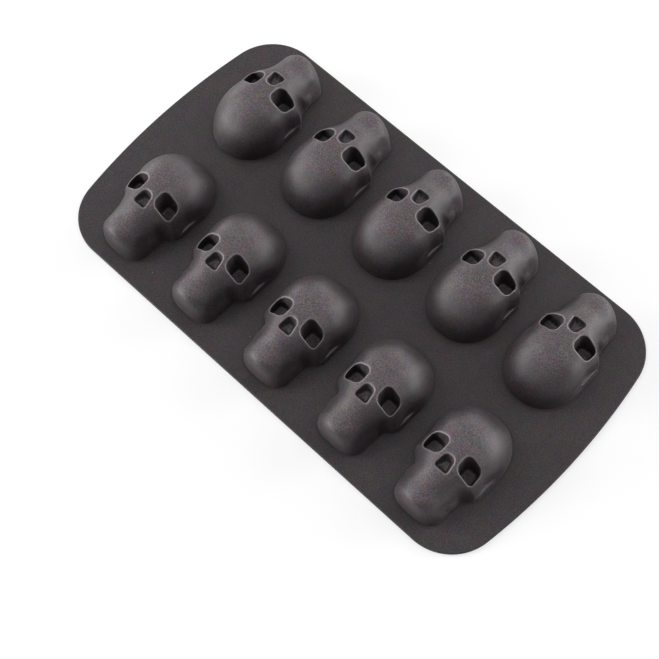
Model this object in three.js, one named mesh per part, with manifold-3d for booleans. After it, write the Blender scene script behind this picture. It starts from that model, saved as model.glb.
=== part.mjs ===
// Silicone skull mould: a flat sheet with ten hollow skull cups standing on it in two rows.
// Millimetres, +Z up. The sheet lies on its open side, with the mouths of the cups facing down
// at z = 0, and the middle of the sheet is the origin. The rows run along X.

import * as THREE from "three";
import { mergeVertices } from "three/addons/utils/BufferGeometryUtils.js";
import Module from "manifold-3d";

// The sheet
const SHEET_LENGTH = 300; // over the bowed ends
const SHEET_WIDTH = 168;
const SHEET_THICKNESS = 2;
const SHEET_EDGE_RADIUS = 0.5;
const CORNER_RADIUS = 28.8;
const END_BOW = 9.1; // how far each end stands out at its middle
const ARC_STEPS = 8;

// Where the cups stand: the first and last of a row keep END_MARGIN from the sheet's bowed ends,
// and each row's brow line keeps SIDE_MARGIN from the long side behind its chins
const CUPS_PER_ROW = 5;
const END_MARGIN = 43;
const SIDE_MARGIN = 45.1;
const CUP_PITCH = (SHEET_LENGTH - 2 * END_MARGIN) / (CUPS_PER_ROW - 1);
const ROW_OFFSET = SHEET_WIDTH / 2 - SIDE_MARGIN;

// The head, measured from its brow line along the face, across it and up from the underside
const CROWN_REACH = 31.2;
const CRANIUM_AT = -6;
const CRANIUM_HALF_WIDTH = 22;
const CRANIUM_TOP = 28.4;
const BROW_AT = 0.5;
const BROW_HALF_WIDTH = 20.6;
const BROW_TOP = 28.8;
const CHEEK_AT = 8;
const CHEEK_HALF_WIDTH = 20.2;
const CHEEK_TOP = 28;
const NOSE_SIDE_AT = 14.5;
const NOSE_SIDE_HALF_WIDTH = 17.2;
const NOSE_SIDE_TOP = 26.7;
const WAIST_AT = 20.5;
const WAIST_HALF_WIDTH = 14.6;
const WAIST_TOP = 24.8;
const JAW_AT = 26.5;
const JAW_HALF_WIDTH = 14.9;
const JAW_TOP = 22.6;
const CHIN_REACH = 36.8;
const CUP_WALL = 2;

// Exponents of the rounded curves: 2 is an ellipse, and more is squarer
const CRANIUM_PLAN = 2.2;
const CRANIUM_PROFILE = 1.8;
const CRANIUM_SECTION = 2.4;
const CHIN_PLAN = 2.3;
const CHIN_PROFILE = 4;
const JAW_SECTION = 1.9;

// Steps round a head's section and along it, the share of those along that each end takes,
// and the steps of each rounded corner of a socket
const OUTER_STEPS = { round: 20, along: 16 };
const INNER_STEPS = { round: 16, along: 12 };
const CHIN_SHARE = 0.24;
const CROWN_SHARE = 0.35;
const SOCKET_CORNER_STEPS = 2;

// Hollows pressed into the sides of the head
const TEMPLE = new THREE.Vector3(21, -1, 14);
const TEMPLE_SIZE = new THREE.Vector3(8, 13, 9);
const TEMPLE_DEPTH = 1.8;
const SUNKEN_CHEEK = new THREE.Vector3(14, 15.5, 16);
const SUNKEN_CHEEK_SIZE = new THREE.Vector3(7, 8, 9);
const SUNKEN_CHEEK_DEPTH = 1.6;

// The cheekbone's ledge, low on each side of the head, running out into the side at its back end
const LEDGE_STANDS_OUT = 0.7;
const LEDGE_OUTER = BROW_HALF_WIDTH + LEDGE_STANDS_OUT;
const LEDGE_INNER = LEDGE_OUTER - 2 * CUP_WALL;
const LEDGE_BACK = -9;
const LEDGE_FRONT = 7;
const LEDGE_TAPER = 3.5;
const LEDGE_NOSE = 1.2;
const LEDGE_Z = 5.5;

// The eye sockets: each outline is square to the brow line and leans out at its lower corners
const EYE_ACROSS = 10.6;
const EYE_ALONG = 5.8;
const EYE_UPPER_HALF_WIDTH = 4.8;
const EYE_INNER_LOWER = new THREE.Vector2(-5, 4.8);
const EYE_OUTER_LOWER = new THREE.Vector2(5.6, 6);
const EYE_UPPER_REACH = 5.5;
const EYE_CORNER_RADIUS = 3;
const EYE_LIP_Z = 25;
const EYE_FLOOR_Z = 14.5;
const EYE_FLOOR_SHARE = 0.62; // the floor's width against the mouth's

// The nose, wider at its lower edge, with the septum standing up from that edge
const NOSE_ALONG = 11.2;
const NOSE_LENGTH = 8.8;
const NOSE_UPPER_WIDTH = 5.4;
const NOSE_LOWER_WIDTH = 9.6;
const NOSE_CORNER_RADIUS = 2;
const NOSE_LIP_Z = 27;
const NOSE_FLOOR_Z = 22;
const NOSE_FLOOR_SHARE = 0.7;
const SEPTUM_WIDTH = 1.4;
const SEPTUM_LENGTH = 3.4;
const SEPTUM_Z = 25;

const CUTTER_RISE = 6; // how far a socket's cutter stands above the lip
const CLEAR_OF_HEAD = 5; // how far the block below the cups reaches past them
const MERGE_DISTANCE = 1e-4; // points nearer than this are one

const SILICONE = { color: 0x44403f, roughness: 0.72, metalness: 0 };

const wasm = await Module();
wasm.setup();

// Joining and cutting

// The closed solid of a geometry, with its repeated points merged.
function solidOf(geometry) {
  const bare = new THREE.BufferGeometry();
  bare.setAttribute("position", geometry.getAttribute("position"));
  bare.setIndex(geometry.index);
  const merged = mergeVertices(bare, MERGE_DISTANCE);
  const vertProperties = new Float32Array(merged.getAttribute("position").array);
  const triVerts = new Uint32Array(merged.index.array);
  return new wasm.Manifold(new wasm.Mesh({ numProp: 3, vertProperties, triVerts }));
}

// The geometry of a solid, for a mesh.
function geometryOf(solid) {
  const mesh = solid.getMesh();
  const geometry = new THREE.BufferGeometry();
  geometry.setAttribute("position", new THREE.BufferAttribute(mesh.vertProperties, 3));
  geometry.setIndex(new THREE.BufferAttribute(mesh.triVerts, 1));
  geometry.computeVertexNormals();
  return geometry;
}

// Moves each point of a geometry in place.
function reshape(geometry, move) {
  const positions = geometry.getAttribute("position");
  const point = new THREE.Vector3();
  for (let i = 0; i < positions.count; i++) {
    point.fromBufferAttribute(positions, i);
    move(point);
    positions.setXYZ(i, point.x, point.y, point.z);
  }
  return geometry;
}

// The head's form

// The sine or cosine of a rounded curve, from that of a circle.
function roundedPower(value, exponent) {
  return Math.sign(value) * Math.abs(value) ** (2 / exponent);
}

// The head's stations between the rounded crown and the rounded chin: along, half width, top.
const FACE_LINE = new THREE.CatmullRomCurve3([
  new THREE.Vector3(JAW_AT, JAW_HALF_WIDTH, JAW_TOP),
  new THREE.Vector3(WAIST_AT, WAIST_HALF_WIDTH, WAIST_TOP),
  new THREE.Vector3(NOSE_SIDE_AT, NOSE_SIDE_HALF_WIDTH, NOSE_SIDE_TOP),
  new THREE.Vector3(CHEEK_AT, CHEEK_HALF_WIDTH, CHEEK_TOP),
  new THREE.Vector3(BROW_AT, BROW_HALF_WIDTH, BROW_TOP),
  new THREE.Vector3(CRANIUM_AT, CRANIUM_HALF_WIDTH, CRANIUM_TOP),
]);

// How far a rounded end has narrowed at a share of its reach.
function narrowing(share, exponent) {
  return Math.max(0, 1 - share ** exponent) ** (1 / exponent);
}

// A rounded end that closes at the reach: turn is 0 at its tip and 1 where it meets the face.
function roundedEnd(turn, from, reach, planExponent, profileExponent) {
  const share = roundedPower(Math.cos((turn * Math.PI) / 2), planExponent);
  const along = from.x + (reach - from.x) * share;
  const halfWidth = from.y * narrowing(share, planExponent);
  return new THREE.Vector3(along, halfWidth, from.z * narrowing(share, profileExponent));
}

// The station at a share of the way from the chin's tip to the crown's, drawn in by the inset.
function stationAt(share, inset) {
  const drawnIn = (station) => station.sub(new THREE.Vector3(0, inset, inset));
  if (share < CHIN_SHARE) {
    const jaw = drawnIn(FACE_LINE.getPoint(0));
    const reach = CHIN_REACH - inset;
    return roundedEnd(share / CHIN_SHARE, jaw, reach, CHIN_PLAN, CHIN_PROFILE);
  }
  if (share > 1 - CROWN_SHARE) {
    const cranium = drawnIn(FACE_LINE.getPoint(1));
    const reach = inset - CROWN_REACH;
    return roundedEnd((1 - share) / CROWN_SHARE, cranium, reach, CRANIUM_PLAN, CRANIUM_PROFILE);
  }
  return drawnIn(FACE_LINE.getPoint((share - CHIN_SHARE) / (1 - CROWN_SHARE - CHIN_SHARE)));
}

// Draws a point towards the head's middle where it lies in a hollow.
function pressIn(point, centre, size, depth) {
  const across = (Math.abs(point.x) - centre.x) / size.x;
  const along = (point.y - centre.y) / size.y;
  const up = (point.z - centre.z) / size.z;
  const nearness = Math.max(0, 1 - across ** 2 - along ** 2 - up ** 2);
  point.x -= Math.sign(point.x) * depth * nearness ** 2;
}

// A solid head, symmetric about z = 0, its whole surface drawn in by the inset.
function headSolid(inset, steps) {
  const form = new THREE.SphereGeometry(1, steps.round, steps.along);
  reshape(form, (point) => {
    const share = Math.acos(THREE.MathUtils.clamp(point.y, -1, 1)) / Math.PI;
    const turn = Math.atan2(point.z, point.x);
    const station = stationAt(share, inset);
    const ofCranium = THREE.MathUtils.smoothstep(share, CHIN_SHARE, 1 - CROWN_SHARE);
    const exponent = THREE.MathUtils.lerp(JAW_SECTION, CRANIUM_SECTION, ofCranium);
    const across = station.y * roundedPower(Math.cos(turn), exponent);
    const up = station.z * roundedPower(Math.sin(turn), exponent);
    point.set(across, station.x, up);
    pressIn(point, TEMPLE, TEMPLE_SIZE, TEMPLE_DEPTH);
    pressIn(point, SUNKEN_CHEEK, SUNKEN_CHEEK_SIZE, SUNKEN_CHEEK_DEPTH);
  });
  return solidOf(form);
}

// The sockets

// A closed outline through the corners, each rounded by the radius.
function roundedOutline(corners, radius) {
  const outline = new THREE.Shape();
  corners.forEach((corner, i) => {
    const before = corners[(i + corners.length - 1) % corners.length];
    const after = corners[(i + 1) % corners.length];
    const arrive = corner.clone().add(before.clone().sub(corner).setLength(radius));
    const leave = corner.clone().add(after.clone().sub(corner).setLength(radius));
    if (i === 0) outline.moveTo(arrive.x, arrive.y);
    else outline.lineTo(arrive.x, arrive.y);
    outline.quadraticCurveTo(corner.x, corner.y, leave.x, leave.y);
  });
  outline.closePath();
  return outline;
}

// The floor's share of a mouth, once both have moved out by the growth.
function grownShare(share, halfWidth, growth) {
  return (share * halfWidth + growth) / (halfWidth + growth);
}

// A pocket that narrows downwards: it has the outline's size at the lip and its share at the floor.
function pocketSolid(outline, centre, lipZ, floorZ, floorShare) {
  const form = new THREE.ExtrudeGeometry(outline, {
    depth: lipZ + CUTTER_RISE - floorZ,
    bevelEnabled: false,
    curveSegments: SOCKET_CORNER_STEPS,
  });
  reshape(form, (point) => {
    const share = floorShare + ((1 - floorShare) * point.z) / (lipZ - floorZ);
    point.set(centre.x + point.x * share, centre.y + point.y * share, floorZ + point.z);
  });
  return solidOf(form);
}

// The pocket of the eye at +x, with its walls and floor moved out by the growth.
function eyeSolid(growth) {
  const upper = EYE_UPPER_HALF_WIDTH + growth;
  const corners = [
    new THREE.Vector2(-upper, -EYE_UPPER_REACH - growth),
    new THREE.Vector2(upper, -EYE_UPPER_REACH - growth),
    EYE_OUTER_LOWER.clone().add(new THREE.Vector2(growth, growth)),
    EYE_INNER_LOWER.clone().add(new THREE.Vector2(-growth, growth)),
  ];
  const outline = roundedOutline(corners, EYE_CORNER_RADIUS + growth / 2);
  const centre = new THREE.Vector2(EYE_ACROSS, EYE_ALONG);
  const floorShare = grownShare(EYE_FLOOR_SHARE, EYE_UPPER_HALF_WIDTH, growth);
  return pocketSolid(outline, centre, EYE_LIP_Z, EYE_FLOOR_Z - growth, floorShare);
}

// The pockets of both eyes.
function eyesSolid(growth) {
  const eye = eyeSolid(growth);
  return eye.add(eye.mirror([1, 0, 0]));
}

// The nose's pocket, grown as the eyes are.
function noseSolid(growth) {
  const upper = NOSE_UPPER_WIDTH / 2 + growth;
  const lower = NOSE_LOWER_WIDTH / 2 + growth;
  const y = NOSE_LENGTH / 2 + growth;
  const corners = [
    new THREE.Vector2(-upper, -y),
    new THREE.Vector2(upper, -y),
    new THREE.Vector2(lower, y),
    new THREE.Vector2(-lower, y),
  ];
  const outline = roundedOutline(corners, NOSE_CORNER_RADIUS + growth / 2);
  const centre = new THREE.Vector2(0, NOSE_ALONG);
  const floorShare = grownShare(NOSE_FLOOR_SHARE, NOSE_LOWER_WIDTH / 2, growth);
  return pocketSolid(outline, centre, NOSE_LIP_Z, NOSE_FLOOR_Z - growth, floorShare);
}

// The ridge left standing in the nose, from below its floor to under the lip.
function septumSolid() {
  const foot = NOSE_FLOOR_Z - CUP_WALL / 2;
  const form = new THREE.BoxGeometry(SEPTUM_WIDTH, SEPTUM_LENGTH * 2, SEPTUM_Z - foot);
  form.translate(0, NOSE_ALONG + NOSE_LENGTH / 2, (SEPTUM_Z + foot) / 2);
  return solidOf(form);
}

// The ledges of both cheekbones, from below the sheet's top face.
function ledgesSolid() {
  const outline = new THREE.Shape();
  outline.moveTo(LEDGE_INNER, LEDGE_BACK);
  outline.lineTo(LEDGE_OUTER, LEDGE_BACK + LEDGE_TAPER);
  outline.lineTo(LEDGE_OUTER, LEDGE_FRONT - LEDGE_NOSE);
  outline.lineTo(LEDGE_OUTER - LEDGE_NOSE, LEDGE_FRONT);
  outline.lineTo(LEDGE_INNER, LEDGE_FRONT);
  outline.closePath();
  const form = new THREE.ExtrudeGeometry(outline, { depth: LEDGE_Z, bevelEnabled: false });
  const ledge = solidOf(form);
  return ledge.add(ledge.mirror([1, 0, 0]));
}

// One cup stands on the sheet: its outer head and ledges less the cavity and the pockets.

// Everything below the sheet's top face, which the cups are cut off at.
function belowCups() {
  const width = 2 * (CRANIUM_HALF_WIDTH + CLEAR_OF_HEAD);
  const length = 2 * (Math.max(CHIN_REACH, CROWN_REACH) + CLEAR_OF_HEAD);
  const depth = CRANIUM_TOP + CLEAR_OF_HEAD;
  const form = new THREE.BoxGeometry(width, length, depth);
  form.translate(0, 0, SHEET_THICKNESS - depth / 2);
  return solidOf(form);
}

const mouthSolid = headSolid(CUP_WALL, INNER_STEPS);

// The cup's shape at the origin, with its face along +Y.
function cupGeometry() {
  const pockets = eyesSolid(0).add(noseSolid(0).subtract(septumSolid()));
  const linings = eyesSolid(CUP_WALL).add(noseSolid(CUP_WALL));
  const cavity = mouthSolid.subtract(linings);
  const outer = headSolid(0, OUTER_STEPS).add(ledgesSolid());
  return geometryOf(outer.subtract(cavity).subtract(pockets).subtract(belowCups()));
}

// The sheet: long sides straight, ends bowed, corners rounded into both.
function sheetOutline() {
  const halfWidth = SHEET_WIDTH / 2;
  const bowRadius = (halfWidth ** 2 + END_BOW ** 2) / (2 * END_BOW);
  const bowCentre = SHEET_LENGTH / 2 - bowRadius;
  const cornerY = halfWidth - CORNER_RADIUS;
  const cornerReach = Math.sqrt((bowRadius - CORNER_RADIUS) ** 2 - cornerY ** 2);
  const cornerX = bowCentre + cornerReach;
  const bowTurn = Math.atan2(cornerY, cornerReach);
  const quarter = Math.PI / 2;
  const outline = new THREE.Shape();
  outline.absarc(bowCentre, 0, bowRadius, -bowTurn, bowTurn);
  outline.absarc(cornerX, cornerY, CORNER_RADIUS, bowTurn, quarter);
  outline.absarc(-cornerX, cornerY, CORNER_RADIUS, quarter, 2 * quarter - bowTurn);
  outline.absarc(-bowCentre, 0, bowRadius, 2 * quarter - bowTurn, 2 * quarter + bowTurn);
  outline.absarc(-cornerX, -cornerY, CORNER_RADIUS, 2 * quarter + bowTurn, 3 * quarter);
  outline.absarc(cornerX, -cornerY, CORNER_RADIUS, 3 * quarter, 4 * quarter - bowTurn);
  return outline;
}

// The sheet's plate, its edges eased, with a mouth under every cup.
function sheetGeometry(places) {
  const form = new THREE.ExtrudeGeometry(sheetOutline(), {
    depth: SHEET_THICKNESS - 2 * SHEET_EDGE_RADIUS,
    bevelThickness: SHEET_EDGE_RADIUS,
    bevelSize: SHEET_EDGE_RADIUS,
    bevelOffset: -SHEET_EDGE_RADIUS,
    bevelSegments: 1,
    curveSegments: ARC_STEPS,
  });
  form.translate(0, 0, SHEET_EDGE_RADIUS);
  return geometryOf(places.reduce(
    (sheet, place) => sheet.subtract(mouthSolid.rotate([0, 0, place.turn]).translate([place.x, place.y, 0])),
    solidOf(form),
  ));
}

// Row a has its chins towards -Y, and row b is row a turned half round.
function cupPlaces() {
  const places = [];
  for (let i = 0; i < CUPS_PER_ROW; i++) {
    const x = (i - (CUPS_PER_ROW - 1) / 2) * CUP_PITCH;
    places.push({ name: "skull_cup_a" + (i + 1), x, y: -ROW_OFFSET, turn: 180 });
    places.push({ name: "skull_cup_b" + (i + 1), x, y: ROW_OFFSET, turn: 0 });
  }
  return places;
}

const material = new THREE.MeshStandardMaterial(SILICONE);
const places = cupPlaces();
const mould = new THREE.Group();

const sheet = new THREE.Mesh(sheetGeometry(places), material);
sheet.name = "sheet";
mould.add(sheet);

const cupShape = cupGeometry();
for (const place of places) {
  const cup = new THREE.Mesh(cupShape, material.clone());
  cup.name = place.name;
  cup.position.set(place.x, place.y, 0);
  cup.rotation.z = THREE.MathUtils.degToRad(place.turn);
  mould.add(cup);
}

export default mould;
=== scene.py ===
"""A silicone skull mould: a dark, soft sheet with ten hollow skull cups, lying on its open side.

Everything is in metres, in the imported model's frame: X along the rows, Y across them, Z up. A cup is
worked out in its own frame first, with x across the face, y along it towards the chin, and z up from
the sheet's open underside, and then set in its row.
"""

import logging
import math
from collections.abc import Callable
from dataclasses import dataclass, field
from enum import Enum

import bmesh
import bpy
import numpy as np
from mathutils import Euler, Matrix, Vector


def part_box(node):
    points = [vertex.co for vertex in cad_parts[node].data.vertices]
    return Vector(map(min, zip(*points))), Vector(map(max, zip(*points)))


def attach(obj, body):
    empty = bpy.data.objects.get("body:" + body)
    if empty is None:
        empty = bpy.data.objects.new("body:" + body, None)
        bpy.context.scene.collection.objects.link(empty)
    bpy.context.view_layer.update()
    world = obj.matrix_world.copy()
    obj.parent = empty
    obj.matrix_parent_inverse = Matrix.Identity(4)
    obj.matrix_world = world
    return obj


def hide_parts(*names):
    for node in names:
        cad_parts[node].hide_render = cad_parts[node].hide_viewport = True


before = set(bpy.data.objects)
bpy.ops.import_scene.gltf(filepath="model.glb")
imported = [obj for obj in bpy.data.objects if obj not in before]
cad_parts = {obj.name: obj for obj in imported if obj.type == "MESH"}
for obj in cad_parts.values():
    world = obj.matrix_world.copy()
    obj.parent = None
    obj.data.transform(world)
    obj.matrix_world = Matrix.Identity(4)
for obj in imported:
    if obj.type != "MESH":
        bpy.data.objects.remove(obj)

LOG = logging.getLogger("skull_mould")
MM = 0.001
IMAGE_SIDE = 659
LEAST_SIZE = 1e-6
LEAST_LENGTH = 1e-9
DECK_TOLERANCE = 1e-5
CUT_TOLERANCE = 1e-7
PLACES_PER_METRE = 1e7
NOISE_MIDDLE = 0.5
WHITE = (1, 1, 1, 1)
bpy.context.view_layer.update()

Array = np.ndarray
Field = Callable[[Array], Array]
Maker = bmesh.types.BMesh
Piece = bpy.types.Object
Verts = list[bmesh.types.BMVert]
Edges = list[bmesh.types.BMEdge]
Colour = tuple[float, float, float, float]
Stops = tuple[tuple[float, float], tuple[float, float]]


def mm(*lengths: float) -> tuple[float, ...]:
    """Lengths in millimetres, given in metres."""
    return tuple(length * MM for length in lengths)


class Row(Enum):
    """The two rows of cups, by the way their chins point."""

    A = -1
    B = 1


class Skin(Enum):
    """The two faces of a cup's wall."""

    OUTER = "outer"
    INNER = "inner"


def smooth_min(a: Array, b: Array, width: float) -> Array:
    """The lesser of two distances, rounded over where they are nearly equal.

    Args:
        a: Distances to the first surface.
        b: Distances to the second surface.
        width: How unlike the two may be before the rounding ends.

    Returns:
        The blended distances.
    """
    near = np.clip(0.5 + 0.5 * (b - a) / width, 0, 1)
    return b * (1 - near) + a * near - width * near * (1 - near)


def smooth_max(a: Array, b: Array, width: float) -> Array:
    """The greater of two distances, rounded as smooth_min is."""
    return -smooth_min(-a, -b, width)


def smooth_step(low: float, high: float, at: Array) -> Array:
    """Rises from 0 at low to 1 at high with level ends."""
    share = np.clip((at - low) / (high - low), 0, 1)
    return share * share * (3 - 2 * share)


def eased_power(share: Array, power: float, ease: float = 0.15) -> Array:
    """A power of a share, but with an even bend near nought, so that a form joins on without a crease.

    Args:
        share: Shares from 0 to 1.
        power: The power away from nought.
        ease: How far the even bend reaches.

    Returns:
        Values from 0 to 1.
    """
    return share**2 * ((share**2 + ease**2) / (1 + ease**2)) ** (power / 2 - 1)


def last_inside(
    skin: Field, start: Array, ahead: Array, low: Array, high: Array, rounds: int
) -> Array:
    """Closes in by halving on where each of a set of lines leaves a skin.

    Args:
        skin: The skin's distance function.
        start: A point on each line, or one for all.
        ahead: The way that each line goes.
        low: Distances from the start that are inside.
        high: Distances that are outside.
        rounds: How often the span between them is halved.

    Returns:
        The furthest distance found inside, for each line.
    """
    for _ in range(rounds):
        middle = (low + high) / 2
        inside = skin(start + ahead * middle[:, None]) < 0
        low = np.where(inside, middle, low)
        high = np.where(inside, high, middle)
    return low


@dataclass(frozen=True)
class Spline:
    """A smooth curve through values at rising stations, level at its start."""

    stations: tuple[float, ...]
    values: tuple[float, ...]
    end_slope: float = 0.0

    def _slopes(self) -> Array:
        """The slopes at the stations that make the curve bend evenly from span to span."""
        spans = np.diff(self.stations)
        rises = np.diff(self.values) / spans
        count = len(self.stations)
        sums = np.eye(count)
        wanted = np.zeros(count)
        wanted[-1] = self.end_slope
        for i in range(1, count - 1):
            before, after = 1 / spans[i - 1], 1 / spans[i]
            sums[i, i - 1 : i + 2] = before, 2 * (before + after), after
            wanted[i] = 3 * (rises[i - 1] * before + rises[i] * after)
        return np.linalg.solve(sums, wanted)

    def at(self, places: Array) -> Array:
        """The curve at some places, level before its start and straight past its end.

        Args:
            places: Where the curve is wanted.

        Returns:
            The curve at each place.
        """
        stations, values, slopes = np.array(self.stations), np.array(self.values), self._slopes()
        inside = np.clip(places, stations[0], stations[-1])
        k = np.clip(np.searchsorted(stations, inside) - 1, 0, len(stations) - 2)
        span = stations[k + 1] - stations[k]
        t = (inside - stations[k]) / span
        start = (1 + 2 * t) * (1 - t) ** 2 * values[k] + t * (1 - t) ** 2 * span * slopes[k]
        end = t * t * (3 - 2 * t) * values[k + 1] + t * t * (t - 1) * span * slopes[k + 1]
        return start + end + self.end_slope * np.maximum(0, places - stations[-1])


@dataclass(frozen=True)
class Hollow:
    """A hollow pressed into both sides of the head, or a swelling where its depth is negative."""

    middle: tuple[float, float, float]
    size: tuple[float, float, float]
    depth: float
    edge: float = 2.0

    def pressing(self, across: Array, along: Array, up: Array) -> Array:
        """How far the side is pressed in at points given by their distance from the middle plane."""
        away = (
            ((across - self.middle[0]) / self.size[0]) ** 2
            + ((along - self.middle[1]) / self.size[1]) ** 2
            + ((up - self.middle[2]) / self.size[2]) ** 2
        )
        return self.depth * np.maximum(0, 1 - away) ** self.edge


@dataclass(frozen=True)
class Pocket:
    """A socket sunk into the face: a rounded outline that narrows down to a rounded floor."""

    corners: tuple[tuple[float, float], ...]
    corner_radius: float
    lip_z: float
    floor_z: float
    floor_share: float
    floor_rounding: float
    share_limits: tuple[float, float] = (0.2, 1.6)

    @property
    def middle(self) -> Array:
        """The middle of the outline."""
        return np.mean(np.array(self.corners), axis=0)

    def outline_distance(self, x: Array, y: Array) -> Array:
        """Signed distance to the outline, negative inside it.

        Args:
            x: Distances across the face.
            y: Distances along it.

        Returns:
            The distance of each point.
        """
        corners = np.array(self.corners)
        after = np.roll(corners, -1, axis=0)
        sides = []
        for start, end in zip(corners, after):
            edge = end - start
            outward = np.array([edge[1], -edge[0]]) / np.hypot(*edge)
            if (self.middle - start) @ outward > 0:
                outward = -outward
            sides.append((x - start[0]) * outward[0] + (y - start[1]) * outward[1] + self.corner_radius)
        flat = np.maximum.reduce(sides)
        turned = np.zeros_like(flat)
        for one, other in zip(sides, sides[1:] + sides[:1]):
            past_both = (one > 0) & (other > 0)
            turned = np.where(past_both, np.maximum(turned, np.hypot(one, other)), turned)
        return np.where(turned > 0, turned, flat) - self.corner_radius

    def distance(self, x: Array, y: Array, z: Array, raised: float | Array = 0.0) -> Array:
        """Signed distance to the pocket, negative inside it.

        Args:
            x: Distances across the face.
            y: Distances along it.
            z: Heights.
            raised: How far the floor is lifted, in all or at each point.

        Returns:
            The distance of each point, near enough for rounding edges.
        """
        rise = (z - self.floor_z) / (self.lip_z - self.floor_z)
        share = np.clip(self.floor_share + (1 - self.floor_share) * rise, *self.share_limits)
        middle = self.middle
        wall = self.outline_distance(
            middle[0] + (x - middle[0]) / share,
            middle[1] + (y - middle[1]) / share,
        )
        return smooth_max(wall * share, self.floor_z + raised - z, self.floor_rounding)


@dataclass(frozen=True)
class Ledge:
    """The cheekbone's ledge, low on each side of the head, which runs out slanting at its back end."""

    outer: float = 21.2 * MM
    back: float = -9.0 * MM
    front: float = 9.4 * MM
    buried_back: float = -18 * MM
    top: float = 4.9 * MM
    slant: float = 0.4
    fall: float = 0.12
    lean: float = 0.3
    lean_from: float = 2 * MM
    rounding: float = 0.3 * MM
    end_rounding: float = 2.4 * MM

    def distance(self, across: Array, along: Array, up: Array) -> Array:
        """Signed distance to the ledge, negative inside it.

        Args:
            across: Distances from the middle plane.
            along: Distances along the face.
            up: Heights.

        Returns:
            The distance of each point.
        """
        side = across - self.outer + self.lean * (up - self.lean_from)
        run_out = side + (self.back - along) * self.slant
        side = smooth_max(side, run_out, 2 * self.rounding)
        ends = np.maximum(along - self.front, self.buried_back - along)
        end = smooth_max(side, ends, self.end_rounding)
        return smooth_max(end, up - self.top + side * self.fall, self.rounding)


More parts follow.
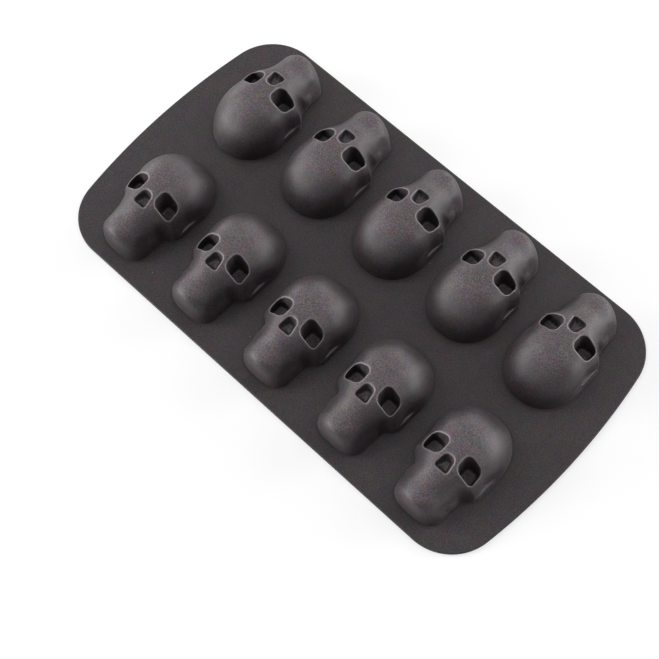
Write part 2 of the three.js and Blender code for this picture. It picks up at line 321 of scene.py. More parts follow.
@dataclass(frozen=True)
class SkullForm:
    """The form of one cup, as distances to its outer and inner skins."""

    wall: float = 2.0 * MM
    crown_reach: float = -31.2 * MM
    chin_reach: float = 36.8 * MM
    stations: tuple[float, ...] = mm(-6, 0.5, 9, 14, 19.5, 26.5)
    half_widths: tuple[float, ...] = mm(21.5, 20.6, 20.0, 17.0, 14.8, 14.8)
    tops: tuple[float, ...] = mm(28.4, 28.8, 27.9, 26.8, 25.1, 22.6)
    chin_fall: float = -0.16
    crown_plan: float = 2.2
    crown_profile: float = 1.8
    chin_plan: float = 2.7
    chin_profile: float = 6.0
    crown_section: float = 2.4
    jaw_section: float = 2.15
    section_from: float = 24 * MM
    section_to: float = -4 * MM
    deck: float = 2.0 * MM
    deck_fillet: float = 0.15 * MM
    lip_rounding: float = 0.6 * MM
    hollows: tuple[Hollow, ...] = (
        Hollow(mm(20.5, -1, 8.5), mm(10, 12.5, 8.5), 2.1 * MM),
        Hollow(mm(16, 14.3, 9), mm(9, 5, 12), 2.0 * MM),
        Hollow(mm(20, 10.2, 8), mm(7.5, 2.9, 15), -0.6 * MM),
        Hollow(mm(14.5, 21, 7), mm(6, 4.4, 6), -0.9 * MM),
        Hollow(mm(13, 26.5, 12.5), mm(6.5, 5.5, 6.5), 0.6 * MM),
    )
    ledge: Ledge = Ledge()
    eye: Pocket = Pocket(
        corners=(mm(5.9, 0.1), mm(16.3, 0.0), mm(17.1, 11.2), mm(5.8, 10.1)),
        corner_radius=3.4 * MM,
        lip_z=25 * MM,
        floor_z=13.2 * MM,
        floor_share=0.74,
        floor_rounding=1.8 * MM,
    )
    nose: Pocket = Pocket(
        corners=(mm(-2.7, 6.8), mm(2.7, 6.8), mm(4.8, 15.6), mm(-4.8, 15.6)),
        corner_radius=2.0 * MM,
        lip_z=27 * MM,
        floor_z=22.4 * MM,
        floor_share=0.6,
        floor_rounding=2.2 * MM,
    )
    septum_half_width: float = 1.1 * MM
    septum_reach: tuple[float, float] = mm(9, 15)
    septum_rise: float = 1.2 * MM
    foot_rise: float = 0.2 * MM
    plan_span: tuple[float, float] = mm(5, 45)
    plan_rounds: int = 30

    def _section_sizes(self, along: Array, inset: float | Array) -> tuple[Array, Array]:
        """The head's half width and top at places along it.

        Args:
            along: The places.
            inset: How far the skin is drawn in from the outer one.

        Returns:
            Half widths and tops, nought past the head's ends.
        """
        first, last = self.stations[0], self.stations[-1]
        to_crown = np.clip((first - along) / (first - self.crown_reach - inset), 0, 1)
        to_chin = np.clip((along - last) / (self.chin_reach - inset - last), 0, 1)
        half_width = Spline(self.stations, self.half_widths).at(along) - inset
        top = Spline(self.stations, self.tops, self.chin_fall).at(along) - inset
        narrowed = []
        for size, crown, chin in (
            (half_width, self.crown_plan, self.chin_plan),
            (top, self.crown_profile, self.chin_profile),
        ):
            at_crown = (1 - eased_power(to_crown, crown)) ** (1 / crown)
            at_chin = (1 - to_chin**chin) ** (1 / chin)
            narrowed.append(size * at_crown * at_chin)
        return narrowed[0], narrowed[1]

    def _section_exponent(self, along: Array) -> Array:
        """How square the section is at places along the head."""
        share = smooth_step(0, 1, (self.section_from - along) / (self.section_from - self.section_to))
        return self.jaw_section + (self.crown_section - self.jaw_section) * share

    def head(self, points: Array, inset: float | Array) -> Array:
        """Signed distance to the plain head, before its sockets.

        Args:
            points: Points in the cup's frame, one a row.
            inset: How far the skin is drawn in from the outer one, in all or for each point.

        Returns:
            Distances, positive outside.
        """
        across, along, up = np.abs(points[:, 0]), points[:, 1], points[:, 2]
        pressed = across.copy()
        for hollow in self.hollows:
            pressed += hollow.pressing(across + inset, along, up)
        half_width, top = self._section_sizes(along, inset)
        exponent = self._section_exponent(along)
        value = (
            (pressed / np.maximum(half_width, LEAST_SIZE)) ** exponent
            + (np.abs(up) / np.maximum(top, LEAST_SIZE)) ** exponent
        ) ** (1 / exponent)
        return np.hypot(pressed, up) * (1 - 1 / np.maximum(value, LEAST_SIZE))

    def eyes(self, points: Array) -> Array:
        """Signed distance to the nearer eye's pocket."""
        return self.eye.distance(np.abs(points[:, 0]), points[:, 1], points[:, 2])

    def nose_hole(self, points: Array) -> Array:
        """Signed distance to the nose's pocket, with the septum standing in it."""
        x, y, z = points.T
        ridge = np.exp(-((x / self.septum_half_width) ** 2)) * smooth_step(*self.septum_reach, y)
        return self.nose.distance(x, y, z, self.septum_rise * ridge)

    def outer(self, points: Array) -> Array:
        """Signed distance to the cup's outer skin, with sockets, ledges and the fillet at the sheet.

        Args:
            points: Points in the cup's frame, one a row.

        Returns:
            Distances, positive in the air.
        """
        across, along, up = np.abs(points[:, 0]), points[:, 1], points[:, 2]
        sunk = np.clip(self.deck + self.deck_fillet - up, 0, self.deck_fillet)
        flare = self.deck_fillet - np.sqrt(self.deck_fillet**2 - sunk**2)
        ledge = self.ledge.distance(across, along, up) - flare
        body = smooth_min(self.head(points, -flare), ledge, self.ledge.rounding)
        body = smooth_max(body, -self.eyes(points), self.lip_rounding)
        return smooth_max(body, -self.nose_hole(points), self.lip_rounding)

    def inner(self, points: Array) -> Array:
        """Signed distance to the cavity, negative inside it, a wall's thickness within the outer skin."""
        cavity = self.head(points, self.wall)
        cavity = smooth_max(cavity, self.wall - self.eyes(points), self.lip_rounding)
        return smooth_max(cavity, self.wall - self.nose.distance(*points.T), self.lip_rounding)

    def lip(self, points: Array, width: float) -> Array:
        """How near points of the outer skin are to the rims of the sockets.

        Args:
            points: Points in the cup's frame, one a row.
            width: How wide the rims are.

        Returns:
            Shares from 0 to 1.
        """
        surface = self.head(points, 0)
        nearness = np.zeros(len(points))
        for pocket in (self.eyes(points), self.nose.distance(*points.T)):
            away = (surface**2 + pocket**2) / width**2
            nearness = np.maximum(nearness, np.exp(-away))
        return nearness

    def skin(self, face: Skin) -> Field:
        """The distance function of one face of the wall."""
        return self.outer if face is Skin.OUTER else self.inner

    def _plan(self, skin: Field, height: float, steps: int) -> Array:
        """The line where a skin meets a level plane.

        Args:
            skin: The skin's distance function.
            height: The plane's height.
            steps: How many points go round the line.

        Returns:
            Points (x, y), turning left round the cup's own origin.
        """
        turn = np.linspace(0, 2 * math.pi, steps, endpoint=False)
        ahead = np.stack([np.cos(turn), np.sin(turn), np.zeros(steps)], axis=1)
        start = np.array([[0, 0, height]])
        low, high = (np.full(steps, reach) for reach in self.plan_span)
        reach = last_inside(skin, start, ahead, low, high, self.plan_rounds)
        return ahead[:, :2] * reach[:, None]

    def mouth(self, steps: int) -> Array:
        """The cavity's outline at the deck, as points (x, y) that turn left."""
        return self._plan(lambda points: self.head(points, self.wall), self.deck, steps)

    def foot(self, steps: int) -> Array:
        """The outline of the cup's outside just above the deck, as points (x, y) that turn left."""
        return self._plan(self.outer, self.deck + self.foot_rise, steps)


def placed(name: str, data: bpy.types.ID) -> Piece:
    """Makes an object of some data and links it into the scene."""
    made = bpy.data.objects.new(name, data)
    bpy.context.scene.collection.objects.link(made)
    return made


def object_from(mesh_maker: Maker, name: str) -> Piece:
    """Makes an object of a bmesh, which it frees.

    Args:
        mesh_maker: The bmesh.
        name: The object's name.

    Returns:
        The object, linked into the scene.
    """
    mesh = bpy.data.meshes.new(name)
    mesh_maker.to_mesh(mesh)
    mesh_maker.free()
    return placed(name, mesh)


def applied(shape: Piece) -> bpy.types.Mesh:
    """Takes an object's mesh with its modifiers applied, and removes the object.

    Args:
        shape: The object.

    Returns:
        The finished mesh.
    """
    bpy.context.view_layer.update()
    settled = shape.evaluated_get(bpy.context.evaluated_depsgraph_get())
    finished = bpy.data.meshes.new_from_object(settled)
    bpy.data.objects.remove(shape)
    return finished


def even_out(maker: Maker, verts: Verts, rounds: int) -> None:
    """Moves vertices half way towards their neighbours.

    Args:
        maker: The bmesh.
        verts: The vertices.
        rounds: How often it is done.
    """
    for _ in range(rounds):
        bmesh.ops.smooth_vert(
            maker, verts=verts, factor=0.5, use_axis_x=True, use_axis_y=True, use_axis_z=True
        )


@dataclass
class SubAssembly:
    """A part of the mould that builds its meshes and dresses them."""

    form: SkullForm

    def dress(self, piece: Piece, node: str, finish: bpy.types.Material) -> None:
        """Gives a piece its finish and says what it stands for.

        Args:
            piece: The piece.
            node: The node that it replaces.
            finish: Its material.
        """
        piece.data.materials.clear()
        piece.data.materials.append(finish)
        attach(piece, "root")
        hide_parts(node)
        LOG.info("%s: %d faces, for node %s", piece.name, len(piece.data.polygons), node)


@dataclass
class CupModel(SubAssembly):
    """One cup's fine mesh, made once and set down ten times."""

    outer_voxel: float = 0.38 * MM
    inner_voxel: float = 0.8 * MM
    round_steps: int = 96
    along_steps: int = 72
    head_reach: float = 40 * MM
    head_rounds: int = 24
    cutter_clearance: float = 6 * MM
    cutter_spread: float = 1.3
    cutter_bevel: float = 0.5
    cutter_bevel_steps: int = 3
    block_middle: float = 0.75
    search: float = 1.3 * MM
    search_steps: int = 15
    search_rounds: int = 12
    rim_width: float = 0.5 * MM
    # The cup's foot is painted darker up to these heights above the sheet: painted shade where it meets the
    # sheet.
    foot_shade_rise: tuple[float, float] = mm(0.1, 1.6)
    # Upward faces above these heights are painted lighter: partly settled dust, partly a painted sheen.
    dust_and_sheen_facing: tuple[float, float] = (0.68, 1.0)
    dust_and_sheen_rise: tuple[float, float] = mm(2.6, 5)
    rim_spread: float = 1.3 * MM
    rim_rounds: int = 3
    relax_rounds: int = 2
    relax_smoothing: int = 2
    sharp_turn: float = 50.0
    foot_loops: tuple[float, ...] = mm(0.0, 0.05, 0.15, 0.4)
    mesh: bpy.types.Mesh | None = field(default=None, init=False)

    def _pocket_cutter(self, pocket: Pocket, side: int, growth: float) -> Piece:
        """A block with a pocket's outline, standing clear of the head.

        Args:
            pocket: The pocket.
            side: 1 or -1, the side of the face.
            growth: How far its walls and floor stand out.

        Returns:
            The block.
        """
        maker = bmesh.new()
        middle = pocket.middle
        foot = pocket.floor_z - growth
        head = pocket.lip_z + self.cutter_clearance
        corners = []
        for corner in pocket.corners:
            offset = np.array(corner) - middle
            grown = offset * (1 + growth / np.hypot(*offset) * self.cutter_spread)
            x, y = middle + grown * pocket.floor_share
            corners.append(maker.verts.new((side * x, y, foot)))
        floor = maker.faces.new(corners)
        radius, steps = pocket.corner_radius * self.cutter_bevel, self.cutter_bevel_steps
        bmesh.ops.bevel(
            maker, geom=floor.verts[:], offset=radius, segments=steps, profile=0.5,
            affect="VERTICES", material=-1,
        )
        raised = bmesh.ops.extrude_face_region(maker, geom=maker.faces[:])
        top = [v for v in raised["geom"] if isinstance(v, bmesh.types.BMVert)]
        bmesh.ops.translate(maker, verts=top, vec=(0, 0, head - foot))
        share, depth = pocket.floor_share, pocket.lip_z - pocket.floor_z
        widening = (share + (1 - share) * (head - foot) / depth) / share
        centre = Matrix.Translation((-side * middle[0], -middle[1], 0))
        bmesh.ops.scale(maker, verts=top, vec=(widening, widening, 1), space=centre)
        bmesh.ops.recalc_face_normals(maker, faces=maker.faces[:])
        return object_from(maker, "pocket_cutter")

    def _rough_head(self, face: Skin) -> Piece:
        """The head's form as a stretched sphere, reaching below the sheet as well as above it.

        Args:
            face: Which face of the wall it is for.

        Returns:
            The stretched sphere.
        """
        maker = bmesh.new()
        bmesh.ops.create_uvsphere(maker, u_segments=self.round_steps, v_segments=self.along_steps, radius=1)
        form = self.form
        inset = 0 if face is Skin.OUTER else form.wall
        ends = (form.crown_reach + inset, form.chin_reach - inset)
        unit = np.array([v.co for v in maker.verts])
        along = (ends[0] + ends[1]) / 2 + unit[:, 2] * (ends[1] - ends[0]) / 2
        direction = np.column_stack([unit[:, 0], np.zeros(len(unit)), unit[:, 1]])
        direction /= np.maximum(np.linalg.norm(direction, axis=1), LEAST_LENGTH)[:, None]
        none = np.zeros(len(unit))
        core = np.column_stack([none, along, none])
        high = np.full(len(unit), self.head_reach)
        reach = last_inside(
            lambda points: form.head(points, inset), core, direction, none, high, self.head_rounds
        )
        for vert, place in zip(maker.verts, core + direction * reach[:, None]):
            vert.co = place
        bmesh.ops.recalc_face_normals(maker, faces=maker.faces[:])
        return object_from(maker, "rough_head")

    def _ledge_block(self, side: int) -> Piece:
        """A block where a ledge stands out of the head.

        Args:
            side: 1 or -1, the side of the face.

        Returns:
            The block.
        """
        ledge = self.form.ledge
        maker = bmesh.new()
        bmesh.ops.create_cube(maker, size=1)
        size = (ledge.outer / 2, ledge.front - ledge.back, 2 * ledge.top)
        middle = (side * ledge.outer * self.block_middle, (ledge.front + ledge.back) / 2, 0)
        bmesh.ops.scale(maker, verts=maker.verts[:], vec=size)
        bmesh.ops.translate(maker, verts=maker.verts[:], vec=middle)
        return object_from(maker, "ledge_block")

    def _settle(self, maker: Maker, skin: Field) -> None:
        """Moves each vertex along its normal onto the skin.

        Args:
            maker: The bmesh, within the search distance of the skin.
            skin: The skin's distance function.
        """
        maker.normal_update()
        places = np.array([v.co for v in maker.verts])
        normals = np.array([v.normal for v in maker.verts])
        offsets = np.linspace(-self.search, self.search, self.search_steps)
        outside = np.array([skin(places + normals * step) > 0 for step in offsets])
        crossing = ~outside[:-1] & outside[1:]
        middles = np.abs((offsets[:-1] + offsets[1:]) / 2)
        cost = np.where(crossing, middles[:, None], np.inf)
        best = cost.argmin(axis=0)
        found = np.isfinite(cost.min(axis=0))
        low, high = offsets[best], offsets[best + 1]
        steps = last_inside(skin, places, normals, low, high, self.search_rounds)
        moved = places + normals * np.where(found, steps, 0)[:, None]
        for vert, place in zip(maker.verts, moved):
            vert.co = place

    def _fine_skin(self, face: Skin, voxel: float) -> Maker:
        """One face of the wall, cut off at the sheet's top.

        Args:
            face: Which face.
            voxel: The size of its quads.

        Returns:
            A bmesh that is open below.
        """
        form = self.form
        growth = 0 if face is Skin.OUTER else form.wall
        rough = self._rough_head(face)
        cutters = [self._pocket_cutter(form.eye, side, growth) for side in (-1, 1)]
        cutters.append(self._pocket_cutter(form.nose, 1, growth))
        blocks = [self._ledge_block(side) for side in (-1, 1)] if face is Skin.OUTER else []
        for tool in blocks + cutters:
            step = rough.modifiers.new(tool.name, "BOOLEAN")
            step.operation = "UNION" if tool in blocks else "DIFFERENCE"
            step.object = tool
        remesh = rough.modifiers.new("remesh", "REMESH")
        remesh.mode = "VOXEL"
        remesh.voxel_size = voxel
        mesh = applied(rough)
        for tool in blocks + cutters:
            bpy.data.objects.remove(tool)
        maker = bmesh.new()
        maker.from_mesh(mesh)
        bpy.data.meshes.remove(mesh)
        skin = form.skin(face)
        for _ in range(self.relax_rounds):
            even_out(maker, maker.verts[:], self.relax_smoothing)
            self._settle(maker, skin)
        for rise in self.foot_loops[::-1]:
            geometry = maker.verts[:] + maker.edges[:] + maker.faces[:]
            bmesh.ops.bisect_plane(
                maker, geom=geometry, dist=CUT_TOLERANCE, plane_co=(0, 0, form.deck + rise),
                plane_no=(0, 0, 1), clear_inner=rise == 0,
            )
        self._settle(maker, skin)
        for vert in maker.verts:
            if vert.is_boundary:
                vert.co.z = form.deck
        self._even_rims(maker)
        return maker

    def _even_rims(self, maker: Maker) -> None:
        """Evens out the sockets' rims, where the skin turns within the size of a quad.

        Args:
            maker: One face of the wall.
        """
        nearness = self.form.lip(np.array([v.co for v in maker.verts]), self.rim_spread)
        rims = [vert for vert, near in zip(maker.verts, nearness) if near > math.exp(-1)]
        even_out(maker, rims, self.rim_rounds)

    def build(self) -> bpy.types.Mesh:
        """Makes the shell of one cup in its own frame, with what its finish needs as attributes.

        Returns:
            The cup's mesh.
        """
        maker = self._fine_skin(Skin.OUTER, self.outer_voxel)
        inner = self._fine_skin(Skin.INNER, self.inner_voxel)
        bmesh.ops.reverse_faces(inner, faces=inner.faces[:])
        inner_mesh = bpy.data.meshes.new("inner")
        inner.to_mesh(inner_mesh)
        inner.free()
        maker.from_mesh(inner_mesh)
        bpy.data.meshes.remove(inner_mesh)
        open_edges = [edge for edge in maker.edges if edge.is_boundary]
        bmesh.ops.bridge_loops(maker, edges=open_edges)
        for polygon in maker.faces:
            polygon.smooth = True
        for edge in maker.edges:
            at_deck = edge.is_manifold and edge.verts[0].co.z < self.form.deck + DECK_TOLERANCE
            if at_deck and edge.calc_face_angle(0) > math.radians(self.sharp_turn):
                edge.smooth = False
        maker.normal_update()
        places = np.array([v.co for v in maker.verts])
        facing = np.array([v.normal.z for v in maker.verts])
        high = smooth_step(*self.dust_and_sheen_rise, places[:, 2])
        mesh = bpy.data.meshes.new("cup_shape")
        maker.to_mesh(mesh)
        maker.free()
        marks = {
            # Nearness to the sockets' rims, where a painted highlight and some wear go.
            "rim": self.form.lip(places, self.rim_width),
            # Painted shade at the cup's foot, strongest at the sheet.
            "crease": 1 - smooth_step(*self.foot_shade_rise, places[:, 2] - self.form.deck),
            # Upward faces painted lighter: settled dust and a painted sheen.
            "settled": smooth_step(*self.dust_and_sheen_facing, facing) * high,
        }
        for name, values in marks.items():
            mark = mesh.attributes.new(name, "FLOAT", "POINT")
            mark.data.foreach_set("value", values.astype(np.float32))
        self.mesh = mesh
        return mesh

    def set_down(self, name: str, place: Vector, row: Row) -> Piece:
        """Sets a copy of the cup in its place, which goes into its mesh.

        Args:
            name: The piece's name.
            place: Where its brow line meets its middle plane.
            row: Which row it stands in.

        Returns:
            The cup.
        """
        mesh = self.mesh.copy()
        mesh.name = name
        turn = Matrix.Rotation(math.pi if row is Row.A else 0, 4, "Z")
        mesh.transform(Matrix.Translation(place) @ turn)
        return placed(name, mesh)


@dataclass
class Sheet(SubAssembly):
    """The flat sheet that carries the cups, with a mouth under each."""

    end_margin: float = 43 * MM
    side_margin: float = 45.1 * MM
    cups_per_row: int = 5
    corner_radius: float = 28.8 * MM
    end_bow: float = 9.1 * MM
    edge_radius: float = 0.55 * MM
    edge_steps: int = 4
    support: float = 0.5 * MM
    arc_steps: int = 40
    mouth_steps: int = 180
    mouth_edge: float = 0.3 * MM
    # A band of painted shadow on the sheet round each cup's foot: how far out each ring lies, and how dark
    # it is.
    shade_band_reaches: tuple[float, ...] = mm(2.4, 0.9, -0.2)
    shade_band_depths: tuple[float, ...] = (0.0, 0.65, 1.0)
    length: float = field(init=False)
    width: float = field(init=False)
    thickness: float = field(init=False)

    def __post_init__(self) -> None:
        """Takes the sheet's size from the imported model."""
        low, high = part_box("sheet")
        self.length = high.x - low.x
        self.width = high.y - low.y
        self.thickness = high.z - low.z

    def places(self) -> list[tuple[str, Vector, Row]]:
        """The name, place and row of every cup."""
        pitch = (self.length - 2 * self.end_margin) / (self.cups_per_row - 1)
        offset = self.width / 2 - self.side_margin
        found = []
        for row in Row:
            for i in range(self.cups_per_row):
                name = f"skull_cup_{row.name.lower()}{i + 1}"
                x = (i - (self.cups_per_row - 1) / 2) * pitch
                found.append((name, Vector((x, row.value * offset, 0)), row))
        return found

    def _outline(self) -> Array:
        """The outline's points, turning left: straight sides, bowed ends and rounded corners."""
        half = self.width / 2
        bow_radius = (half**2 + self.end_bow**2) / (2 * self.end_bow)
        bow_middle = self.length / 2 - bow_radius
        corner_y = half - self.corner_radius
        reach = math.sqrt((bow_radius - self.corner_radius) ** 2 - corner_y**2)
        corner_x = bow_middle + reach
        bow_turn = math.atan2(corner_y, reach)
        arcs = []
        for side, turned in ((1, 0), (-1, math.pi)):
            x, y, radius = side * corner_x, side * corner_y, self.corner_radius
            quarter = turned + math.pi / 2
            arcs.append((side * bow_middle, 0, bow_radius, turned - bow_turn, turned + bow_turn, False))
            arcs.append((x, y, radius, turned + bow_turn, quarter, True))
            arcs.append((-x, y, radius, quarter, turned + math.pi - bow_turn, False))
        points = []
        for x, y, radius, start, end, straight_follows in arcs:
            turns = np.linspace(start, end, self.arc_steps)
            for turn in turns if straight_follows else turns[:-1]:
                points.append((x + radius * math.cos(turn), y + radius * math.sin(turn)))
        return np.array(points)

    def _wall(
        self, maker: Maker, line: Array, radius: float, skirts: tuple[Array, ...] = ()
    ) -> tuple[Edges, Edges]:
        """A closed wall through the sheet with eased edges, and a flat strip along it above and below.

        Args:
            maker: The bmesh that the wall goes into.
            line: The wall's outline, with the sheet to its left.
            radius: The radius of its eased edges.
            skirts: Wider outlines on the upper face that the wall starts from, the widest first. Each
            takes its own share of the painted shadow round a cup's foot.

        Returns:
            The edges that bound the upper and the lower flat strip.
        """
        ahead = np.roll(line, -1, axis=0) - np.roll(line, 1, axis=0)
        ahead /= np.linalg.norm(ahead, axis=1)[:, None]
        outward = np.column_stack([ahead[:, 1], -ahead[:, 0]])
        turns = np.linspace(0, math.pi / 2, self.edge_steps + 1)
        shoulder = self.thickness - radius
        profile = [(-radius - self.support, self.thickness)]
        profile += [(-radius + radius * math.sin(t), shoulder + radius * math.cos(t)) for t in turns]
        profile += [(-radius + radius * math.cos(t), radius - radius * math.sin(t)) for t in turns]
        profile.append((-radius - self.support, 0))
        layers = maker.verts.layers.float
        # The crease layer carries the painted shadow on the sheet round each cup's foot.
        painted_shade_layer = layers.get("crease") or layers.new("crease")
        rings = [(skirt, self.thickness, depth) for skirt, depth in zip(skirts, self.shade_band_depths)]
        rings += [(line + outward * offset, height, 0.0) for offset, height in profile]
        first, first_height, _ = rings[0]
        verts = [maker.verts.new((x, y, first_height)) for x, y in first]
        loop = [maker.edges.new((verts[i - 1], verts[i])) for i in range(len(verts))]
        upper = loop
        for ring, height, depth in rings[1:]:
            raised = bmesh.ops.extrude_edge_only(maker, edges=loop)["geom"]
            loop = [item for item in raised if isinstance(item, bmesh.types.BMEdge)]
            new_verts = [item for item in raised if isinstance(item, bmesh.types.BMVert)]
            verts = self._in_order(new_verts, verts)
            for vert, place in zip(verts, ring):
                vert.co = (*place, height)
                vert[painted_shade_layer] = depth
        return upper, loop

    def _in_order(self, new_verts: Verts, old_verts: Verts) -> Verts:
        """Puts extruded vertices in the order of those that they came from.

        Args:
            new_verts: The extruded vertices, still where the old ones lie.
            old_verts: The vertices that they came from, in the outline's order.

        Returns:
            The extruded vertices in the outline's order.
        """

        def key(vert: bmesh.types.BMVert) -> tuple[int, ...]:
            """A vertex's place in whole steps."""
            return tuple(round(value * PLACES_PER_METRE) for value in vert.co)

        by_place = {key(vert): vert for vert in new_verts}
        return [by_place[key(vert)] for vert in old_verts]

    def build(self) -> Piece:
        """Makes the sheet with its ten mouths.

        Returns:
            The sheet, in place.
        """
        maker = bmesh.new()
        upper, lower = self._wall(maker, self._outline(), self.edge_radius)
        mouth = self.form.mouth(self.mouth_steps)[::-1]
        foot = self.form.foot(self.mouth_steps)[::-1]
        reach = np.linalg.norm(foot, axis=1)[:, None]
        for _, place, row in self.places():
            middle = np.array([place.x, place.y])
            grown = [foot * (1 + beyond / reach) for beyond in self.shade_band_reaches]
            skirts = tuple(line * row.value + middle for line in grown)
            above, below = self._wall(maker, mouth * row.value + middle, self.mouth_edge, skirts)
            upper = upper + above
            lower = lower + below
        for edges in (upper, lower):
            bmesh.ops.triangle_fill(maker, use_beauty=True, use_dissolve=False, edges=edges)
        bmesh.ops.recalc_face_normals(maker, faces=maker.faces[:])
        for polygon in maker.faces:
            polygon.smooth = True
        return object_from(maker, "sheet_body")


class Value:
    """A shader value that can be used in plain sums."""

    def __init__(self, graph: "Graph", socket: bpy.types.NodeSocket) -> None:
        """Keeps the graph and the socket."""
        self.graph = graph
        self.socket = socket

    def _maths(self, operation: str, *inputs: "Value | float") -> "Value":
        """Adds one Math node."""
        return self.graph.node("ShaderNodeMath", {"operation": operation}, dict(enumerate(inputs)))

    def __add__(self, other: "Value | float") -> "Value":
        """Adds."""
        return self._maths("ADD", self, other)

    __radd__ = __add__

    def __mul__(self, other: "Value | float") -> "Value":
        """Multiplies."""
        return self._maths("MULTIPLY", self, other)

    __rmul__ = __mul__

    def __sub__(self, other: "Value | float") -> "Value":
        """Takes the other away."""
        return self._maths("SUBTRACT", self, other)

    def __rsub__(self, other: "Value | float") -> "Value":
        """Is taken away from the other."""
        return self._maths("SUBTRACT", other, self)

    def beside(self, output: str) -> "Value":
        """Another output of the same node."""
        return Value(self.graph, self.socket.node.outputs[output])

    def greater(self, other: "Value | float") -> "Value":
        """The greater of two values."""
        return self._maths("MAXIMUM", self, other)


@dataclass(frozen=True)
class Noise:
    """A noise pattern: the size of its features in metres, its detail and its roughness."""

    size: float
    detail: float
    roughness: float = 0.5


Paint = Value | Colour


class Graph:
    """The nodes of a material or of the world."""

    def __init__(self, tree: bpy.types.NodeTree) -> None:
        """Starts with an empty tree."""
        self.tree = tree
        tree.nodes.clear()

    def _add(self, kind: str, settings: dict, inputs: dict) -> bpy.types.Node:
        """Adds a node, gives it its settings and then its inputs.

        Args:
            kind: The node's type.
            settings: Its properties, and under "stops" a ramp's stops.
            inputs: Numbers, colours or values for its sockets, by name or place.

        Returns:
            The node.
        """
        made = self.tree.nodes.new(kind)
        for name, value in settings.items():
            if name == "stops":
                for element, (place, level) in zip(made.color_ramp.elements[:], value):
                    element.position = place
                    element.color = (level, level, level, 1)
            else:
                setattr(made, name, value)
        for name, value in inputs.items():
            if isinstance(value, Value):
                self.tree.links.new(value.socket, made.inputs[name])
            else:
                made.inputs[name].default_value = value
        return made

    def node(self, kind: str, settings: dict, inputs: dict, output: int | str = 0) -> Value:
        """Adds a node as _add does, and gives one of its outputs as a value."""
        return Value(self, self._add(kind, settings, inputs).outputs[output])

    def finish(self, shader: Value, kind: str = "ShaderNodeOutputMaterial") -> None:
        """Links a shader to an output of the kind given."""
        self._add(kind, {}, {"Surface": shader})

    def noise(self, at: Value, pattern: Noise, output: int | str = 0) -> Value:
        """A noise pattern at some places."""
        inputs = {"Vector": at, "Scale": 1 / pattern.size}
        inputs |= {"Detail": pattern.detail, "Roughness": pattern.roughness}
        return self.node("ShaderNodeTexNoise", {}, inputs, output)

    def mark(self, name: str) -> Value:
        """A vertex attribute."""
        return self.node("ShaderNodeAttribute", {"attribute_name": name}, {}, "Fac")

    def ramp(self, value: Value, stops: Stops) -> Value:
        """A value spread between two stops, each a place and a level."""
        return self.node("ShaderNodeValToRGB", {"stops": stops}, {"Fac": value})

    def mix(self, share: Value | float, one: Paint, other: Paint, way: str = "MIX") -> Value:
        """Mixes two colours."""
        settings = {"data_type": "RGBA", "blend_type": way}
        return self.node("ShaderNodeMix", settings, {0: share, 6: one, 7: other}, 2)


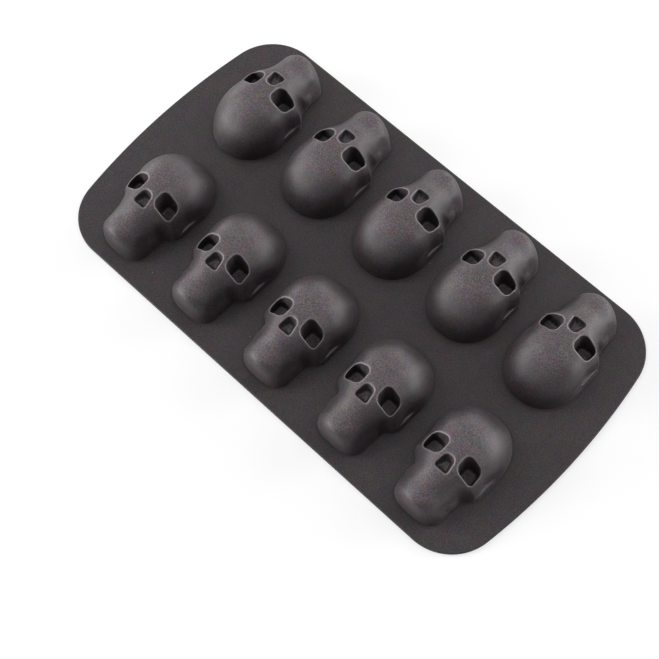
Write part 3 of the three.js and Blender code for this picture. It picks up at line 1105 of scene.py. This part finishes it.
@dataclass(frozen=True)
class SiliconeFinish:
    """Dark, matte, slightly dusty moulded silicone, with painted shade at the cups' feet and on the sheet
    round them, painted highlights on the socket rims, and upward faces painted lighter for dust and sheen.
    """

    name: str
    base: Colour = (0.031, 0.0239, 0.027, 1)
    dusty: Colour = (0.051, 0.0415, 0.0455, 1)
    # The tone of the cups' upward faces: settled dust, and a painted sheen.
    settled: Colour = (0.086, 0.068, 0.076, 1)
    # A painted highlight on the sockets' rims, with some wear.
    rim_highlight_and_wear: Colour = (0.30, 0.272, 0.282, 1)
    # Painted shade at the cups' feet and on the sheet round them.
    crease_shade: Colour = (0.012, 0.0095, 0.0105, 1)
    speck: Colour = (0.6, 0.58, 0.58, 1)
    roughness: float = 0.5
    gloss: float = 0.3
    has_rims: bool = True
    cloud: Noise = Noise(22 * MM, 4, 0.55)
    mottle: Noise = Noise(2.6 * MM, 5, 0.65)
    grain: Noise = Noise(0.7 * MM, 1, 0.8)
    pores: Noise = Noise(0.22 * MM, 1)
    tints: tuple[Noise, ...] = (Noise(5.5 * MM, 1), Noise(0.8 * MM, 1))
    tint_share: float = 0.3
    dust_mix: tuple[float, float] = (0.55, 0.45)
    dust_stops: Stops = ((0.36, 0.0), (0.66, 1.0))
    dust_share: float = 0.42
    dust_and_sheen_share: float = 0.95
    grain_stops: Stops = ((0.3, 0.3), (0.7, 1.7))
    crease_shade_share: float = 0.85
    rim_share: float = 0.9
    rim_mix: tuple[float, float] = (0.8, 0.2)
    speck_spacing: float = 4.6 * MM
    speck_stops: Stops = ((0.035, 1.0), (0.06, 0.0))
    speck_choice: Stops = ((0.90, 0.0), (0.92, 1.0))
    speck_share: float = 0.7
    uneven: tuple[float, float] = (0.12, 0.06)
    relief: tuple[float, float, float] = (0.5, 0.3, 0.2)
    bump_strength: float = 0.35
    bump_depth: float = 0.12 * MM

    def _colour(self, graph: Graph, at: Value, noises: tuple[Value, ...]) -> Value:
        """Lays the silicone's tones, with its painted light and shade, over each other.

        Args:
            graph: The material's nodes.
            at: Places on the piece.
            noises: The broad, the middling and the fine noise there.

        Returns:
            The colour.
        """
        cloud, mottle, grain = noises
        dust = graph.ramp(cloud * self.dust_mix[0] + mottle * self.dust_mix[1], self.dust_stops)
        colour = graph.mix(dust * self.dust_share, self.base, self.dusty)
        if self.has_rims:
            # Upward faces painted lighter, for settled dust and a painted sheen.
            colour = graph.mix(graph.mark("settled") * self.dust_and_sheen_share, colour, self.settled)
        for tint in self.tints:
            colour = graph.mix(self.tint_share, colour, graph.noise(at, tint, "Color"), "SOFT_LIGHT")
        colour = graph.mix(1.0, colour, graph.ramp(grain, self.grain_stops), "MULTIPLY")
        # Painted shade at the cups' feet and on the sheet round them.
        colour = graph.mix(graph.mark("crease") * self.crease_shade_share, colour, self.crease_shade)
        if self.has_rims:
            # A painted highlight, with some wear, along the sockets' rims.
            highlight_and_wear = graph.mark("rim") * (self.rim_mix[0] + self.rim_mix[1] * mottle)
            colour = graph.mix(highlight_and_wear * self.rim_share, colour, self.rim_highlight_and_wear)
        cells = {"Vector": at, "Scale": 1 / self.speck_spacing}
        away = graph.node("ShaderNodeTexVoronoi", {"feature": "F1"}, cells, "Distance")
        picked = graph.node("ShaderNodeSeparateColor", {}, {"Color": away.beside("Color")}, "Red")
        near = graph.ramp(away, self.speck_stops)
        chosen = graph.ramp(picked, self.speck_choice)
        return graph.mix(near * chosen * self.speck_share, colour, self.speck)

    def build(self) -> bpy.types.Material:
        """Makes the material.

        Returns:
            The material.
        """
        material = bpy.data.materials.new(self.name)
        material.use_nodes = True
        graph = Graph(material.node_tree)
        at = graph.node("ShaderNodeTexCoord", {}, {}, "Object")
        cloud, mottle, grain, pores = (
            graph.noise(at, pattern) for pattern in (self.cloud, self.mottle, self.grain, self.pores)
        )
        swings = [share * (noise - NOISE_MIDDLE) for share, noise in zip(self.uneven, (mottle, cloud))]
        heights = self.relief[0] * mottle + self.relief[1] * grain + self.relief[2] * pores
        bump = {"Strength": self.bump_strength, "Distance": self.bump_depth, "Height": heights}
        surface = {
            "Base Color": self._colour(graph, at, (cloud, mottle, grain)),
            "Roughness": self.roughness + swings[0] + swings[1],
            "Specular IOR Level": self.gloss,
            "Normal": graph.node("ShaderNodeBump", {}, bump),
        }
        graph.finish(graph.node("ShaderNodeBsdfPrincipled", {}, surface))
        return material


@dataclass(frozen=True)
class Softbox:
    """A broad lamp aimed at the middle of the mould, as bright there as its level says."""

    name: str
    azimuth: float
    elevation: float
    level: float
    width: float = 1.6
    height: float = 0.6
    distance: float = 2.6

    def build(self) -> Piece:
        """Makes the lamp.

        Returns:
            The lamp's object.
        """
        light = bpy.data.lights.new(self.name, "AREA")
        light.shape = "RECTANGLE"
        light.size = self.width
        light.size_y = self.height
        light.energy = self.level * math.pi * self.distance**2
        lamp = placed(self.name, light)
        turn, rise = math.radians(self.azimuth), math.radians(self.elevation)
        place = Vector((math.cos(turn) * math.cos(rise), math.sin(turn) * math.cos(rise), math.sin(rise)))
        lamp.location = place * self.distance
        lamp.rotation_euler = place.to_track_quat("Z", "Y").to_euler()
        return lamp


@dataclass
class Studio:
    """The pale floor, the white surroundings, the lamps and the camera."""

    focal_pixels: float = 1410.33
    centre_pixels: tuple[float, float] = (336.84, 336.12)
    camera_place: tuple[float, float, float] = mm(214.31, -224.70, 690.69)
    camera_tilt: float = 21.98
    camera_roll: float = 0.97
    camera_turn: float = 43.34
    sensor: float = 36.0
    view_reach: float = 20.0
    floor_radius: float = 2.5
    floor_gap: float = 0.1 * MM
    floor_glow: float = 0.62
    floor_near: float = 0.45
    floor_far: float = 1.0
    floor_segments: int = 96
    floor_colour: Colour = (0.5, 0.5, 0.5, 1)
    ambient: float = 0.02
    lamps: tuple[Softbox, ...] = (
        Softbox("right_low", 35, 8, 1.55),
        Softbox("right_low_back", 65, 8, 1.1),
        Softbox("back_low", 105, 8, 0.7),
        Softbox("left_end", 172, 8, 0.95),
        Softbox("left_low", 225, 8, 2.1),
        Softbox("left_front", 250, 8, 1.1),
        Softbox("right_middle", 65, 25, 0.54, width=1.0),
        Softbox("left_middle", 215, 25, 0.84, width=1.0),
        Softbox("right_high", 55, 50, 0.44, width=1.0, height=0.8),
        Softbox("left_high", 205, 50, 0.68, width=1.0, height=0.8),
        Softbox("back_high", 130, 50, 0.22, width=1.0, height=0.8),
        Softbox("overhead", 313, 84, 0.16, width=1.0, height=0.8),
    )

    def _camera(self) -> None:
        """Makes the camera, with the photograph's view and perspective."""
        data = bpy.data.cameras.new("camera")
        data.sensor_width = self.sensor
        data.lens = self.focal_pixels / IMAGE_SIDE * self.sensor
        data.shift_x = (IMAGE_SIDE / 2 - self.centre_pixels[0]) / IMAGE_SIDE
        data.shift_y = (self.centre_pixels[1] - IMAGE_SIDE / 2) / IMAGE_SIDE
        data.clip_end = self.view_reach
        camera = placed("camera", data)
        camera.location = self.camera_place
        angles = (self.camera_tilt, self.camera_roll, self.camera_turn)
        camera.rotation_euler = Euler([math.radians(angle) for angle in angles])
        bpy.context.scene.camera = camera

    def _seen(self, graph: Graph) -> Value:
        """1 for rays that see the background itself or in a gloss, 0 for rays that carry light."""
        straight = graph.node("ShaderNodeLightPath", {}, {}, "Is Camera Ray")
        glossy = straight.beside("Is Glossy Ray")
        through = straight.beside("Is Transmission Ray")
        return straight.greater(glossy).greater(through)

    def _world(self) -> None:
        """White where it is seen, and a plain grey light otherwise."""
        world = bpy.data.worlds.new("surroundings")
        world.use_nodes = True
        bpy.context.scene.world = world
        graph = Graph(world.node_tree)
        levels = {0: self._seen(graph), 2: self.ambient, 3: 1.0}
        strength = graph.node("ShaderNodeMix", {"data_type": "FLOAT"}, levels)
        light = graph.node("ShaderNodeBackground", {}, {"Color": WHITE, "Strength": strength})
        graph.finish(light, "ShaderNodeOutputWorld")

    def _floor(self) -> None:
        """A pale floor that keeps the mould's soft shadow and fades to white away from it."""
        maker = bmesh.new()
        bmesh.ops.create_circle(maker, cap_ends=True, segments=self.floor_segments, radius=self.floor_radius)
        bmesh.ops.translate(maker, vec=(0, 0, -self.floor_gap), verts=maker.verts[:])
        floor = object_from(maker, "floor")
        material = bpy.data.materials.new("pale_floor")
        material.use_nodes = True
        graph = Graph(material.node_tree)
        lit = graph.node("ShaderNodeBsdfDiffuse", {}, {"Color": self.floor_colour})
        at = graph.node("ShaderNodeTexCoord", {}, {}, "Object")
        away = graph.node("ShaderNodeVectorMath", {"operation": "LENGTH"}, {0: at}, "Value")
        brightness = graph.ramp(away, ((self.floor_near, self.floor_glow), (self.floor_far, 1.0)))
        glow = graph.node("ShaderNodeEmission", {}, {"Color": brightness, "Strength": self._seen(graph)})
        graph.finish(graph.node("ShaderNodeAddShader", {}, {0: lit, 1: glow}))
        floor.data.materials.append(material)

    def build(self) -> None:
        """Sets up the studio."""
        self._floor()
        self._world()
        for lamp in self.lamps:
            lamp.build()
        self._camera()
        bpy.context.scene.view_settings.view_transform = "Standard"


def main() -> None:
    """Builds the mould and its studio."""
    logging.basicConfig(level=logging.INFO, format="%(name)s: %(message)s")
    form = SkullForm()
    cup_finish = SiliconeFinish("cup_silicone", gloss=0.39).build()
    sheet_finish = SiliconeFinish("sheet_silicone", has_rims=False).build()
    sheet = Sheet(form)
    sheet.dress(sheet.build(), "sheet", sheet_finish)
    cups = CupModel(form)
    cups.build()
    for name, place, row in sheet.places():
        cups.dress(cups.set_down(f"{name}_body", place, row), name, cup_finish)
    Studio().build()


if __name__ == "__main__":
    main()
